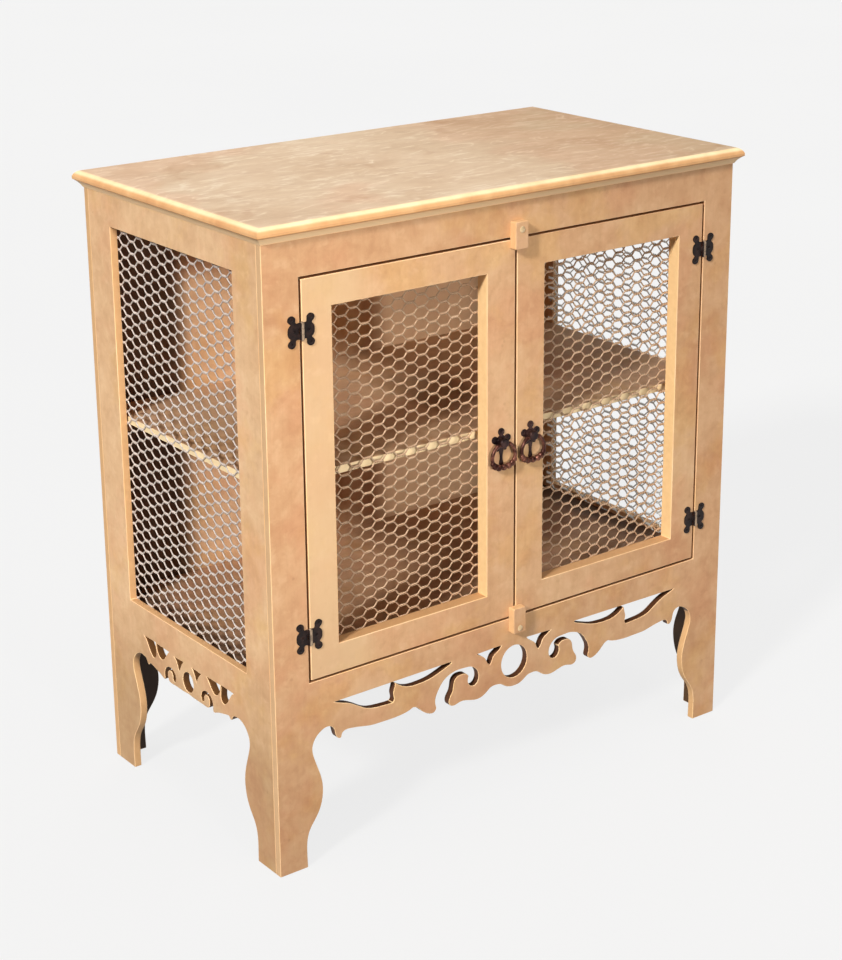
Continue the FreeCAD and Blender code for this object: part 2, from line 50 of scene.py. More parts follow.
# ============================================================ materials
def lin(c):
    """sRGB 0-255 to linear."""
    out = []
    for v in c:
        v = v / 255.0
        out.append(v / 12.92 if v <= 0.04045 else ((v + 0.055) / 1.055) ** 2.4)
    return tuple(out) + (1.0,)


class Graph:
    """A small helper for building node trees."""

    def __init__(self, name):
        self.mat = bpy.data.materials.new(name)
        self.mat.use_nodes = True
        self.t = self.mat.node_tree
        self.t.nodes.clear()
        self.out = self.t.nodes.new("ShaderNodeOutputMaterial")
        self.bsdf = self.t.nodes.new("ShaderNodeBsdfPrincipled")
        self.t.links.new(self.bsdf.outputs[0], self.out.inputs[0])
        self.coord = self.t.nodes.new("ShaderNodeTexCoord")

    def link(self, a, b):
        self.t.links.new(a, b)

    def new(self, kind, **kw):
        n = self.t.nodes.new(kind)
        for k, v in kw.items():
            setattr(n, k, v)
        return n

    def place(self, scale=(1, 1, 1), loc=(0, 0, 0), rot=(0, 0, 0)):
        n = self.new("ShaderNodeMapping")
        n.inputs["Scale"].default_value = scale
        n.inputs["Location"].default_value = loc
        n.inputs["Rotation"].default_value = rot
        self.link(self.coord.outputs["Object"], n.inputs["Vector"])
        return n.outputs[0]

    def noise(self, vec, scale, detail=3.0, rough=0.55, dist=0.0):
        n = self.new("ShaderNodeTexNoise")
        n.inputs["Scale"].default_value = scale
        n.inputs["Detail"].default_value = detail
        n.inputs["Roughness"].default_value = rough
        n.inputs["Distortion"].default_value = dist
        self.link(vec, n.inputs["Vector"])
        return n.outputs["Fac"]

    def ramp(self, fac, stops, interp="LINEAR"):
        n = self.new("ShaderNodeValToRGB")
        n.color_ramp.interpolation = interp
        els = n.color_ramp.elements
        while len(els) < len(stops):
            els.new(0.5)
        for e, (p, c) in zip(els, stops):
            e.position = p
            e.color = c
        self.link(fac, n.inputs[0])
        return n.outputs[0]

    def mix(self, fac, a, b, mode="MIX"):
        n = self.new("ShaderNodeMix", data_type="RGBA", blend_type=mode)
        n.clamp_factor = True
        for sock, val in ((n.inputs[0], fac), (n.inputs[6], a), (n.inputs[7], b)):
            if isinstance(val, (int, float)):
                sock.default_value = val
            elif isinstance(val, tuple):
                sock.default_value = val
            else:
                self.link(val, sock)
        return n.outputs[2]

    def math(self, op, a, b=None, c=None, clamp=False):
        n = self.new("ShaderNodeMath", operation=op, use_clamp=clamp)
        for i, val in enumerate((a, b, c)):
            if val is None:
                continue
            if isinstance(val, (int, float)):
                n.inputs[i].default_value = val
            else:
                self.link(val, n.inputs[i])
        return n.outputs[0]

    def span(self, val, lo, hi, a=0.0, b=1.0, smooth=True):
        n = self.new("ShaderNodeMapRange")
        n.interpolation_type = "SMOOTHSTEP" if smooth else "LINEAR"
        n.clamp = True
        for i, v in ((1, lo), (2, hi), (3, a), (4, b)):
            n.inputs[i].default_value = v
        self.link(val, n.inputs[0])
        return n.outputs[0]

    def xyz(self, which="Object"):
        n = self.new("ShaderNodeSeparateXYZ")
        self.link(self.coord.outputs[which], n.inputs[0])
        return n.outputs[0], n.outputs[1], n.outputs[2]

    def bump(self, height, strength, distance):
        n = self.new("ShaderNodeBump")
        n.inputs["Strength"].default_value = strength
        n.inputs["Distance"].default_value = distance
        self.link(height, n.inputs["Height"])
        self.link(n.outputs[0], self.bsdf.inputs["Normal"])


GRAIN = {"x": (1, 14, 14), "y": (14, 1, 14), "z": (14, 14, 1)}
# painted shade: darker tone for the inner faces below the floor board
INSIDE_SHADE = lin((92, 64, 36))
# painted shade: the cut edges in the door gaps are toned darker
GAP_EDGE_SHADE = lin((200, 142, 98))


def wood(name, base, light, dark, grain="z", mottle=0.5, seed=0.0, cut=None, cut_axis=1,
         zones=(), specks=0.5, rough=0.55, fibre=0.17, leg_shade=(0.92, 0.91, 0.90, 1)):
    """Raw sanded board: soft mottling, faint fibre, small dark flecks, and its
    own colour on the cut edges. cut_axis is the axis of the board's thickness.
    zones is a list of (function of the graph, colour) painted over the rest."""
    g = Graph(name)
    v0 = g.place(loc=(seed, seed * 1.7, seed * 0.6))
    m1 = g.noise(v0, 7.0, 4.0, 0.6)
    m2 = g.noise(v0, 34.0, 5.0, 0.68, 0.4)
    m5 = g.noise(g.place(loc=(seed * 0.7, 2.1, seed)), 70.0, 3.0, 0.55, 0.2)
    vg = g.place(scale=GRAIN[grain], loc=(seed * 3.1, seed, seed * 2.3))
    fib = g.noise(vg, 13.0, 6.0, 0.7, 0.25)
    fine = g.noise(vg, 90.0, 3.0, 0.7)
    c = g.ramp(m1, [(0.30, dark), (0.50, base), (0.72, light)])
    c2 = g.ramp(m2, [(0.32, dark), (0.52, base), (0.74, light)])
    c = g.mix(mottle, c, c2)
    c = g.mix(g.span(m5, 0.52, 0.74, 0.0, 0.38), c, light)
    c = g.mix(g.span(m5, 0.46, 0.28, 0.0, 0.38), c, dark)
    f = g.ramp(fib, [(0.36, (0.80, 0.73, 0.66, 1)), (0.55, (1, 1, 1, 1)), (0.8, (1.0, 1.0, 0.98, 1))])
    c = g.mix(fibre, c, f, "MULTIPLY")
    # pink-brown and yellow drifts
    m3 = g.noise(g.place(loc=(seed * 5, 3.3, seed)), 9.0, 4.0, 0.6)
    c = g.mix(g.span(m3, 0.47, 0.64, 0.0, 0.85), c, g.mix(1.0, c, (0.99, 0.90, 0.89, 1), "MULTIPLY"))
    m4 = g.noise(g.place(loc=(seed * 2, 8.3, seed)), 12.0, 4.0, 0.6)
    c = g.mix(g.span(m4, 0.50, 0.66, 0.0, 0.85), c, g.mix(1.0, c, (1.0, 0.98, 0.84, 1), "MULTIPLY"))
    # small dark flecks
    if specks:
        vo = g.new("ShaderNodeTexVoronoi")
        vo.inputs["Scale"].default_value = 55.0
        g.link(g.place(loc=(seed, 0.3, 2.0)), vo.inputs["Vector"])
        keep = g.math("GREATER_THAN", g.noise(v0, 30.0, 1.0), 0.60)
        dot = g.span(vo.outputs["Distance"], 0.05, 0.16, 1.0, 0.0)
        c = g.mix(g.math("MULTIPLY", g.math("MULTIPLY", dot, keep), 0.45 * specks), c,
                  g.mix(1.0, c, (0.55, 0.42, 0.33, 1), "MULTIPLY"))
    g.n = g.xyz("Normal")
    g.p = g.xyz("Object")
    # painted shade: darker towards the floor on the legs
    leg_shade_height = g.math("ADD", g.p[2], g.math("MULTIPLY", g.math("SUBTRACT", m1, 0.5), 0.12))
    c = g.mix(g.span(leg_shade_height, 0.27, 0.08, 0.0, 1.0), c, g.mix(1.0, c, leg_shade, "MULTIPLY"))
    if cut is not None:
        g.is_cut = g.span(g.math("ABSOLUTE", g.n[cut_axis]), 0.75, 0.45, 0.0, 1.0)
        edge_noise = g.noise(g.place(loc=(seed, 1, 2)), 120.0, 3.0)
        c = g.mix(g.is_cut, c, g.mix(edge_noise, cut, g.mix(1.0, cut, (0.84, 0.78, 0.72, 1), "MULTIPLY")))
    for where, colour in zones:
        vary = g.mix(m2, colour, g.mix(1.0, colour, (0.72, 0.70, 0.68, 1), "MULTIPLY"))
        c = g.mix(where(g), c, vary)
    g.link(c, g.bsdf.inputs["Base Color"])
    r = g.math("ADD", g.math("MULTIPLY", m2, 0.16), rough - 0.08)
    g.link(r, g.bsdf.inputs["Roughness"])
    g.bsdf.inputs["Specular IOR Level"].default_value = 0.28
    h = g.math("ADD", g.math("MULTIPLY", fib, 0.7), g.math("MULTIPLY", fine, 0.4))
    g.bump(h, 0.22, 0.0006)
    return g.mat


def between(g, val, lo, hi, soft=0.0006):
    """1 where lo < val < hi."""
    return g.math("MULTIPLY", g.span(val, lo - soft, lo + soft), g.span(val, hi + soft, hi - soft, 0.0, 1.0))


def both(g, *vals):
    out = vals[0]
    for v in vals[1:]:
        out = g.math("MULTIPLY", out, v)
    return out


def either(g, a, b):
    return g.math("MAXIMUM", a, b)


def front_slots(g):
    """Sawn edges inside the front fretwork: a dark sawn-edge tone deepened as painted shade in the slots."""
    return both(g, g.is_cut, between(g, g.p[2], 0.139, 0.2035),
                between(g, g.math("ABSOLUTE", g.p[0]), -1.0, 0.2975))


def side_slots(g):
    # sawn edges inside the side fretwork: a dark sawn-edge tone deepened as painted shade
    return both(g, g.is_cut, between(g, g.p[2], 0.155, 0.2035),
                between(g, g.math("ABSOLUTE", g.p[1]), -1.0, 0.108))


def frame_gap(g):
    """The door opening's edges in the front frame, toned darker as painted shade in the gap."""
    ax = g.math("ABSOLUTE", g.p[0])
    upright = both(g, between(g, ax, 0.3018, 0.3042), between(g, g.p[2], 0.2325, 0.7135))
    level = both(g, between(g, ax, -1.0, 0.3042),
                 either(g, between(g, g.p[2], 0.7108, 0.7132), between(g, g.p[2], 0.2328, 0.2352)))
    return both(g, g.is_cut, either(g, upright, level))


def frame_ends(g):
    """The front board's own edge, seen beside the side panel."""
    return both(g, g.is_cut, g.span(g.math("ABSOLUTE", g.p[0]), 0.3470, 0.3490))


def door_gap(g):
    # the door's own edges at the gap, toned darker as painted shade in the gap
    ax = g.math("ABSOLUTE", g.p[0])
    upright = either(g, g.span(ax, 0.2984, 0.2992), g.span(ax, 0.0030, 0.0022, 0.0, 1.0))
    level = either(g, g.span(g.p[2], 0.7074, 0.7082), g.span(g.p[2], 0.2386, 0.2378, 0.0, 1.0))
    return both(g, g.is_cut, either(g, upright, level))


def door_sill_shade(g):
    """Upward faces of the door's cut edges, toned darker than the side-facing edges as painted shade."""
    return both(g, g.is_cut, g.span(g.n[2], 0.4, 0.7))


def low(g, top=0.212):
    return g.span(g.p[2], top + 0.012, top, 0.0, 1.0)


def inside_side(g):
    """Inner face of a side panel, below the floor board, darkened as painted shade."""
    return both(g, low(g), g.span(g.math("MULTIPLY", g.n[0], g.math("SIGN", g.p[0])), -0.4, -0.6, 0.0, 1.0))


def inside_back(g):
    # painted shade on the back panel's inner face below the floor board
    return both(g, low(g), g.span(g.n[1], -0.4, -0.6, 0.0, 1.0))


def rear_corner_shade(g):
    """Painted shadow on the back panel's inner face beside the side panels."""
    return both(g, g.span(g.n[1], -0.4, -0.6, 0.0, 1.0), g.span(g.math("ABSOLUTE", g.p[0]), 0.212, 0.245, 0.0, 0.8))


def back_middle_light(g):
    """Painted light: the paler middle of the back panel's inner face, where light falls."""
    wander = g.math("ADD", g.p[0], g.math("MULTIPLY", g.math("SUBTRACT", g.noise(g.place(), 9.0, 3.0), 0.5), 0.10))
    return both(g, g.span(g.n[1], -0.4, -0.6, 0.0, 1.0), g.span(wander, 0.010, 0.130),
                g.span(g.p[0], 0.30, 0.22, 0.0, 1.0), g.span(g.p[2], 0.21, 0.23), 0.8)


def floor_edge_shadow(g):
    """Painted shadow in a band round the front and the ends of the floor board."""
    return g.math("MULTIPLY", either(g, g.span(g.p[1], -0.075, -0.145, 0.0, 1.0),
                                     g.span(g.math("ABSOLUTE", g.p[0]), 0.285, 0.325)), 0.72)


def shelf_rear_light(g):
    """Painted light: the paler back of the shelf top, where light falls on it."""
    return both(g, g.span(g.p[1], -0.02, 0.12), g.span(g.n[2], 0.4, 0.6), 0.3)


def shelf_patch_shadow(g):
    """Painted shadow of the meeting stiles on the middle of the shelf."""
    return both(g, between(g, g.p[0], -0.030, 0.075, 0.025), between(g, g.p[1], -0.135, 0.06, 0.03),
                g.span(g.n[2], 0.4, 0.6), 0.35)


def stile_painted_light(g):
    """The left door's hinge stile, painted paler as light falling on it."""
    return both(g, g.span(g.p[0], -0.195, -0.240, 0.0, 1.0), g.span(g.n[1], -0.4, -0.6, 0.0, 1.0), 0.5)


def inside_front(g):
    # painted shade on the front frame's inner face below the floor board
    return both(g, low(g), g.span(g.n[1], 0.4, 0.6))


def metal(name, base, light, metallic, rough, bump=0.4, scale=260.0, patch=0.5):
    g = Graph(name)
    v = g.place()
    a = g.noise(v, scale, 4.0, 0.6)
    b = g.noise(v, scale * 0.25, 3.0, 0.6)
    k = g.math("MULTIPLY", g.span(b, 0.42, 0.66), patch)
    g.link(g.mix(k, base, light), g.bsdf.inputs["Base Color"])
    g.bsdf.inputs["Metallic"].default_value = metallic
    g.link(g.math("ADD", g.math("MULTIPLY", a, 0.25), rough - 0.12), g.bsdf.inputs["Roughness"])
    g.bump(a, bump, 0.0003)
    return g.mat


# slot edge tones: dark sawn-edge colour deepened as painted shade, darker on the front than the sides
CUT_DARK = lin((92, 56, 34))
CUT_MID = lin((132, 90, 52))
WOOD_FRONT = wood("wood_front_frame", lin((216, 169, 127)), lin((230, 190, 148)), lin((198, 148, 107)),
                  "z", 0.5, 0.0, lin((232, 186, 134)), 1,
                  ((front_slots, CUT_DARK), (frame_gap, GAP_EDGE_SHADE), (frame_ends, lin((229, 187, 142))),
                   (inside_front, INSIDE_SHADE)))
# side panel: deeper painted shade towards the floor on its legs
WOOD_SIDE = wood("wood_side_panel", lin((226, 184, 140)), lin((242, 206, 164)), lin((208, 162, 120)),
                 "z", 0.5, 3.0, lin((226, 180, 130)), 0, ((side_slots, CUT_MID), (inside_side, INSIDE_SHADE)),
                 leg_shade=(0.70, 0.67, 0.62, 1))
# back panel zones: painted shade below the floor board and in the rear corners, painted light in the middle
WOOD_BACK = wood("wood_back_panel", lin((216, 172, 134)), lin((230, 190, 152)), lin((196, 150, 114)),
                 "z", 0.5, 6.0, lin((222, 178, 130)), 1,
                 ((inside_back, lin((118, 84, 46))), (rear_corner_shade, lin((52, 36, 32))), (back_middle_light, lin((250, 208, 166)))))
# door zones: painted shade on upward cut faces and in the gap, painted light on the hinge stile
WOOD_DOOR = wood("wood_door", lin((219, 172, 129)), lin((234, 195, 152)), lin((201, 151, 110)),
                 "z", 0.5, 9.0, lin((255, 216, 160)), 1,
                 ((door_sill_shade, lin((222, 172, 120))), (stile_painted_light, lin((246, 214, 168))), (door_gap, GAP_EDGE_SHADE)))
# shelf zones: painted light at the back and a painted shadow of the meeting stiles
WOOD_SHELF = wood("wood_shelf", lin((206, 168, 132)), lin((220, 184, 150)), lin((184, 144, 112)),
                  "x", 0.5, 15.0, lin((255, 232, 188)), 2, 
                  ((shelf_rear_light, lin((250, 214, 176))), (shelf_patch_shadow, lin((84, 58, 48)))))
# floor zone: painted shadow round the front and the ends
WOOD_FLOOR = wood("wood_floor", lin((196, 154, 120)), lin((210, 170, 136)), lin((172, 132, 100)),
                  "x", 0.5, 18.0, lin((200, 150, 100)), 2, ((floor_edge_shadow, lin((46, 32, 28))),))
WOOD_BLOCK = wood("wood_block", lin((204, 160, 118)), lin((220, 178, 136)), lin((180, 136, 98)),
                  "x", 0.5, 21.0)
WOOD_BUTTON = wood("wood_button", lin((218, 172, 132)), lin((232, 192, 152)), lin((200, 152, 112)),
                   "z", 0.5, 24.0, lin((236, 194, 144)), 1)
# painted highlight: a paler wood on the bevelled edges
ARRIS_HIGHLIGHT = wood("wood_arris_highlight", lin((250, 210, 160)), lin((254, 222, 178)), lin((238, 192, 142)),
             "z", 0.5, 27.0, None, 1, (), 0.0, 0.5, 0.2)


def top_wood():
    """The top: parchment-pale, clouded and finely veined, with a moulded edge
    whose upper arris carries a painted highlight, with painted light in the cove and a painted shade line in the
    quirk."""
    g = Graph("wood_top")
    v = g.place(scale=(1.0, 1.6, 1.0), rot=(0, 0, math.radians(14)))
    a = g.noise(v, 4.0, 4.0, 0.55, 0.6)
    b = g.noise(v, 11.0, 4.0, 0.58, 0.8)
    fine = g.noise(g.place(scale=(1, 2.6, 1), rot=(0, 0, math.radians(10))), 42.0, 4.0, 0.6, 0.5)
    vein = g.noise(g.place(scale=(1, 2.6, 1), rot=(0, 0, math.radians(22)), loc=(3, 1, 0)), 8.0, 3.0, 0.55, 1.4)
    blot = g.noise(g.place(loc=(7, 5, 0)), 14.0, 3.0, 0.55, 0.8)
    c = g.ramp(a, [(0.30, lin((212, 177, 142))), (0.50, lin((225, 194, 159))), (0.70, lin((233, 206, 173)))])
    c2 = g.ramp(b, [(0.30, lin((208, 172, 138))), (0.50, lin((227, 198, 167))), (0.70, lin((240, 216, 188)))])
    c = g.mix(0.5, c, c2)
    c = g.mix(g.span(fine, 0.50, 0.74, 0.0, 0.34), c, lin((244, 224, 198)))
    c = g.mix(g.span(fine, 0.48, 0.26, 0.0, 0.34), c, lin((206, 168, 134)))
    ridge = g.span(g.math("ABSOLUTE", g.math("SUBTRACT", vein, 0.5)), 0.045, 0.004, 0.0, 1.0)
    c = g.mix(g.math("MULTIPLY", ridge, g.span(fine, 0.42, 0.62, 0.1, 0.6)), c, lin((250, 232, 206)))
    c = g.mix(g.span(blot, 0.58, 0.72, 0.0, 0.42), c, lin((200, 154, 116)))
    drift = g.noise(g.place(loc=(4, 1, 0)), 4.5, 3.0)
    c = g.mix(g.span(drift, 0.48, 0.60, 0.0, 0.9), c, g.mix(1.0, c, (1.0, 0.92, 0.90, 1), "MULTIPLY"))
    g.p = g.xyz("Object")
    g.n = g.xyz("Normal")
    # browner towards the right-hand end
    far = g.math("ADD", g.p[0], g.math("MULTIPLY", g.math("SUBTRACT", a, 0.5), 0.5))
    c = g.mix(g.span(far, -0.05, 0.34, 0.0, 1.0), c, g.mix(1.0, c, (0.80, 0.75, 0.68, 1), "MULTIPLY"))
    e = g.noise(g.place(), 34.0, 4.0, 0.6)
    flat = g.ramp(e, [(0.30, lin((214, 158, 108))), (0.55, lin((226, 174, 121))), (0.75, lin((234, 188, 136)))])
    # painted highlight on the upward-facing upper arris of the nose
    pale = g.ramp(e, [(0.30, lin((244, 212, 162))), (0.60, lin((254, 230, 184)))])
    edge = g.mix(g.span(g.n[2], 0.50, 0.78), flat, pale)
    # painted light: the cove under the nose made paler against its shade
    edge = g.mix(g.span(g.n[2], 0.0, -0.35, 0.0, 1.0), edge, lin((255, 218, 170)))
    c = g.mix(g.span(g.p[2], 0.7738, 0.7732, 0.0, 1.0), c, edge)
    # painted shade: a darker line in the quirk
    quirk = between(g, g.p[2], 0.7618, 0.7638, 0.0004)
    c = g.mix(g.math("MULTIPLY", quirk, 0.7), c, lin((190, 128, 76)))
    g.link(c, g.bsdf.inputs["Base Color"])
    g.link(g.math("ADD", g.math("MULTIPLY", b, 0.2), 0.42), g.bsdf.inputs["Roughness"])
    g.bsdf.inputs["Specular IOR Level"].default_value = 0.3
    g.bump(g.math("ADD", fine, g.math("MULTIPLY", b, 0.6)), 0.25, 0.0006)
    return g.mat


WOOD_TOP = top_wood()
WIRE = metal("netting_wire", lin((184, 150, 120)), lin((214, 184, 152)), 0.15, 0.48, 0.2, 700.0, 0.7)
# painted light: the left side netting uses a paler copy of the door wire; the right side's wire is paler still and
# glows faintly
WIRE_SIDE = metal("side_netting_wire", lin((206, 192, 182)), lin((232, 222, 214)), 0.12, 0.48, 0.2, 700.0, 0.7)
WIRE_FAR_GLOW = metal("right_netting_wire_glow", lin((228, 230, 224)), lin((246, 246, 240)), 0.12, 0.48, 0.2, 700.0, 0.7)
for node in WIRE_FAR_GLOW.node_tree.nodes:
    if node.type == "BSDF_PRINCIPLED":
        node.inputs["Emission Color"].default_value = (0.95, 0.97, 0.94, 1)
        node.inputs["Emission Strength"].default_value = 0.1


def near(g, axis, places, radius):
    """1 within radius (m) of any of the places on that axis, both sides alike."""
    v = g.math("ABSOLUTE", g.p[axis])
    out = None
    for q in places:
        k = g.span(g.math("ABSOLUTE", g.math("SUBTRACT", v, q)), radius + 0.0004, radius - 0.0004, 0.0, 1.0)
        out = k if out is None else g.math("MAXIMUM", out, k)
    return out


def hinge_metal():
    """Black lacquered iron, with wear to dull metal and a painted highlight stripe on the front of the barrel."""
    g = Graph("hinge_black")
    a = g.noise(g.place(), 420.0, 4.0, 0.6)
    b = g.noise(g.place(), 110.0, 3.0, 0.6)
    g.p = g.xyz("Object")
    c = g.mix(g.span(b, 0.45, 0.66, 0.0, 0.6), lin((26, 15, 13)), lin((58, 38, 32)))
    # pale barrel stripe: partly wear, partly a painted highlight
    wear_and_highlight = g.math("MULTIPLY", near(g, 0, (0.3015,), 0.0016), g.span(g.p[1], -0.1952, -0.1962, 0.0, 1.0))
    c = g.mix(g.math("MULTIPLY", wear_and_highlight, g.span(b, 0.35, 0.55, 0.45, 0.95)), c, lin((176, 152, 128)))
    g.link(c, g.bsdf.inputs["Base Color"])
    g.bsdf.inputs["Metallic"].default_value = 0.25
    g.bsdf.inputs["Specular IOR Level"].default_value = 0.35
    g.link(g.math("ADD", g.math("MULTIPLY", a, 0.25), 0.34), g.bsdf.inputs["Roughness"])
    g.bump(a, 0.5, 0.0003)
    return g.mat


BLACK = hinge_metal()
PLATE = metal("pull_plate_bronze", lin((34, 18, 18)), lin((92, 62, 56)), 0.55, 0.36, 0.4, 380.0, 0.7)
BRONZE = metal("pull_bronze", lin((62, 28, 20)), lin((150, 96, 78)), 0.6, 0.36, 0.4, 380.0, 0.8)
STEEL = metal("screw_steel", lin((150, 144, 134)), lin((186, 180, 168)), 0.85, 0.38, 0.2, 500.0, 0.5)
BRASS = metal("button_screw_brass", lin((226, 196, 150)), lin((248, 226, 188)), 0.4, 0.34, 0.3, 500.0, 0.6)


def dress(node, mat, slot=None, bevel=0.0, arris=None, angle=38.0, segments=2):
    o = NODES[node]
    o.data.materials.clear()
    o.data.materials.append(mat)
    # the second slot paints a highlight on the bevelled edges
    if arris is not None:
        o.data.materials.append(arris)
    if bevel:
        w = o.modifiers.new("weld", "WELD")
        w.merge_threshold = 1e-6
        d = o.modifiers.new("flat", "DECIMATE")
        d.decimate_type = "DISSOLVE"
        d.angle_limit = math.radians(0.4)
        b = o.modifiers.new("bevel", "BEVEL")
        b.width = bevel
        b.segments = segments
        b.limit_method = "ANGLE"
        b.angle_limit = math.radians(angle)
        b.use_clamp_overlap = False
        b.harden_normals = False
        if arris is not None:
            b.material = 1
        n = o.modifiers.new("normals", "WEIGHTED_NORMAL")
        n.keep_sharp = False
        n.weight = 80
        for p in o.data.polygons:
            p.use_smooth = True
    return o


for n, mat in (("front_frame", WOOD_FRONT), ("left_side_panel", WOOD_SIDE),
               ("right_side_panel", WOOD_SIDE), ("back_panel", WOOD_BACK)):
    dress(n, mat, bevel=0.0007, arris=ARRIS_HIGHLIGHT)
dress("top_board", WOOD_TOP)
for n in ("left_door_frame", "right_door_frame"):
    dress(n, WOOD_DOOR, bevel=0.0009, arris=ARRIS_HIGHLIGHT)
dress("middle_shelf", WOOD_SHELF, bevel=0.0006)
dress("floor_board", WOOD_FLOOR, bevel=0.0005)
for n in NODES:
    if n.endswith("_batten") or n.endswith("_rest") or n.endswith("_stop"):
        dress(n, WOOD_BLOCK, bevel=0.0006)
    if n.endswith("_button"):
        dress(n, WOOD_BUTTON)
    if n.endswith("_leaf"):
        dress(n, BLACK, bevel=0.00035, segments=2, angle=45)
    if n in ("hinge_pins", "frame_leaf_screws", "left_door_leaf_screws", "right_door_leaf_screws"):
        dress(n, BLACK)
    if n.endswith("_pull_plate"):
        dress(n, PLATE, bevel=0.0004, angle=40)
    if n.endswith("_pull_ring"):
        dress(n, BRONZE)
    if n in ("upper_button_screw", "lower_button_screw"):
        dress(n, BRASS)
    if n.endswith("_staples") or n in ("top_screws", "floor_screws", "left_pull_screw", "right_pull_screw"):
        dress(n, STEEL)


# ============================================================ twisted wire netting
TW = 10.7
RW, RH = 0.98, 0.92
SIDES = 6


def tube(points, radius):
    """Rings of SIDES vertices along a polyline; returns vertices and quads."""
    p = np.array(points, float)
    n = len(p)
    tan = np.zeros_like(p)
    tan[1:-1] = p[2:] - p[:-2]
    tan[0], tan[-1] = p[1] - p[0], p[-1] - p[-2]
    tan /= np.linalg.norm(tan, axis=1)[:, None]
    ref = np.array([0.0, 1.0, 0.0])
    verts = []
    for i in range(n):
        a = np.cross(tan[i], ref)
        a /= np.linalg.norm(a)
        b = np.cross(tan[i], a)
        for k in range(SIDES):
            t = 2 * math.pi * k / SIDES
            verts.append(p[i] + radius * (a * math.cos(t) + b * math.sin(t)))
    faces = []
    for i in range(n - 1):
        for k in range(SIDES):
            k2 = (k + 1) % SIDES
            faces.append((i * SIDES + k, i * SIDES + k2, (i + 1) * SIDES + k2, (i + 1) * SIDES + k))
    return np.array(verts), np.array(faces)


def cell_template(DX, DZ):
    """One twist and the two wires that leave its right end, in (u, out, z)."""
    parts = []
    h = TW / 2.0
    n = 10
    for start in (0.5, 1.5):
        pts = []
        for i in range(n + 1):
            t = i / n
            ang = math.pi * (start + 3.0 * t)
            ease = 1.0 if 0 < i < n else 1.05
            pts.append((-h + TW * t, RH * math.cos(ang) * ease, RH * math.sin(ang) * ease))
        parts.append(tube(pts, RW))
    s = DX - TW
    for e in (1, -1):
        a = np.array((h, 0.0, e * RH))
        b = np.array((h + s, 0.0, e * (DZ / 2.0 - RH)))
        pts = [a, a + (0.9, 0.05, e * 0.45), (a + b) / 2, b - (0.9, -0.05, e * 0.45), b]
        parts.append(tube(pts, RW))
    verts, faces, off = [], [], 0
    for v, f in parts:
        verts.append(v)
        faces.append(f + off)
        off += len(v)
    return np.vstack(verts), np.vstack(faces)


def netting(name, body, node, u0, u1, z0, z1, cu, cz, to_row, phase, DX, DZ):
    """A panel of netting. (cu, cz) is the middle of one twist, DX and DZ the
    spacing of the columns and cells; to_row turns arrays (u, out, z) in mm into
    row coordinates in metres."""
    TPL_V, TPL_F = cell_template(DX, DZ)
    vs, fs, off = [], [], 0
    i0, i1 = int((u0 - cu) / DX) - 2, int((u1 - cu) / DX) + 2
    j0, j1 = int((z0 - cz) / DZ) - 2, int((z1 - cz) / DZ) + 2
    for i in range(i0, i1 + 1):
        for j in range(j0, j1 + 1):
            u = cu + i * DX
            z = cz + j * DZ + (DZ / 2.0 if i % 2 else 0.0)
            if u < u0 - DX or u > u1 + DX or z < z0 - DZ or z > z1 + DZ:
                continue
            vs.append(TPL_V + np.array((u, 0.0, z)))
            fs.append(TPL_F + off)
            off += len(TPL_V)
    v, f = np.vstack(vs), np.vstack(fs)
    # keep the faces that lie in the panel, and trim the rings at its edge
    inside = (v[:, 0] > u0) & (v[:, 0] < u1) & (v[:, 2] > z0) & (v[:, 2] < z1)
    f = f[inside[f].any(axis=1)]
    used = np.unique(f)
    remap = -np.ones(len(v), int)
    remap[used] = np.arange(len(used))
    v, f = v[used], remap[f]
    v[:, 0] = np.clip(v[:, 0], u0 - 0.3, u1 + 0.3)
    v[:, 2] = np.clip(v[:, 2], z0 - 0.3, z1 + 0.3)
    # hand-stretched wire is never quite even
    a, b = v[:, 0] + phase * 31.0, v[:, 2] + phase * 17.0
    du = 0.55 * np.sin(b / 37.0 + 1.3 * np.sin(a / 61.0)) + 0.3 * np.sin(a / 13.0 + b / 19.0)
    dz = 0.55 * np.sin(a / 41.0 + 1.1 * np.sin(b / 53.0)) + 0.3 * np.sin(b / 11.0 - a / 23.0)
    dn = 0.22 * np.sin(a / 29.0 + b / 47.0)
    v = v + np.stack([du, dn, dz], axis=1)
    me = bpy.data.meshes.new(name)
    me.from_pydata([tuple(p) for p in to_row(v)], [], [tuple(int(k) for k in q) for q in f])
    me.polygons.foreach_set("use_smooth", [True] * len(me.polygons))
    me.update()
    o = bpy.data.objects.new(name, me)
    scene.collection.objects.link(o)
    # door wire; on the sides, paler copies as painted light, the right one glowing
    me.materials.append(WIRE if "door" in name else WIRE_FAR_GLOW if "right" in name else WIRE_SIDE)
    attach(o, body)
    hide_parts(node)
    return o


def door_map(sign):
    def f(v):
        x = v[:, 0] if sign < 0 else 700.0 - v[:, 0]
        return np.stack([(x - OX) / 1000, (19.25 + v[:, 1] - OY) / 1000, v[:, 2] / 1000], axis=1)
    return f


def side_map(sign):
    def f(v):
        x = 10.65 + v[:, 1]
        x = x if sign < 0 else 700.0 - x
        return np.stack([(x - OX) / 1000, (v[:, 0] - OY) / 1000, v[:, 2] / 1000], axis=1)
    return f


